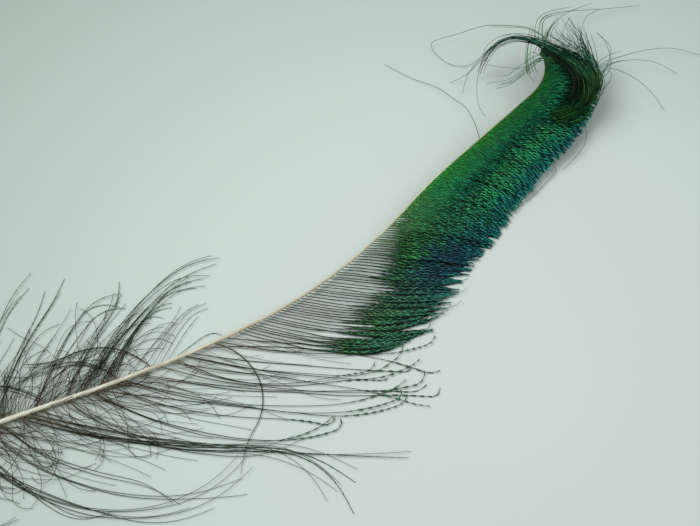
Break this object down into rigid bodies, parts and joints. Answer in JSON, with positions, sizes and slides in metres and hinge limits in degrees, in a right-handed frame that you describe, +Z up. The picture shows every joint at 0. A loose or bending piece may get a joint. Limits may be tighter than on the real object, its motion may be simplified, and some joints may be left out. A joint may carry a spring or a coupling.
{
  "type": "peacock feather",
  "caption": "Peacock sword feather, lying down: a long curved shaft with a wide green vane on one side, loose barbs below and curling barbs at the tip.",
  "frame": {"origin": "on the flat underside of the vane, at the surface that the feather lies on, near the middle of its length", "axes": "+X from the quill's end to the curled tip, +Y towards the inner side of the shaft, +Z up from the surface"},
  "size_m": [0.5333, 0.2011, 0.0265],
  "materials": {
    "feather": "silky green barbs on a pale horn shaft"
  },
  "bodies": {
    "root": {"feather": "feather"}
  },
  "joints": []
}
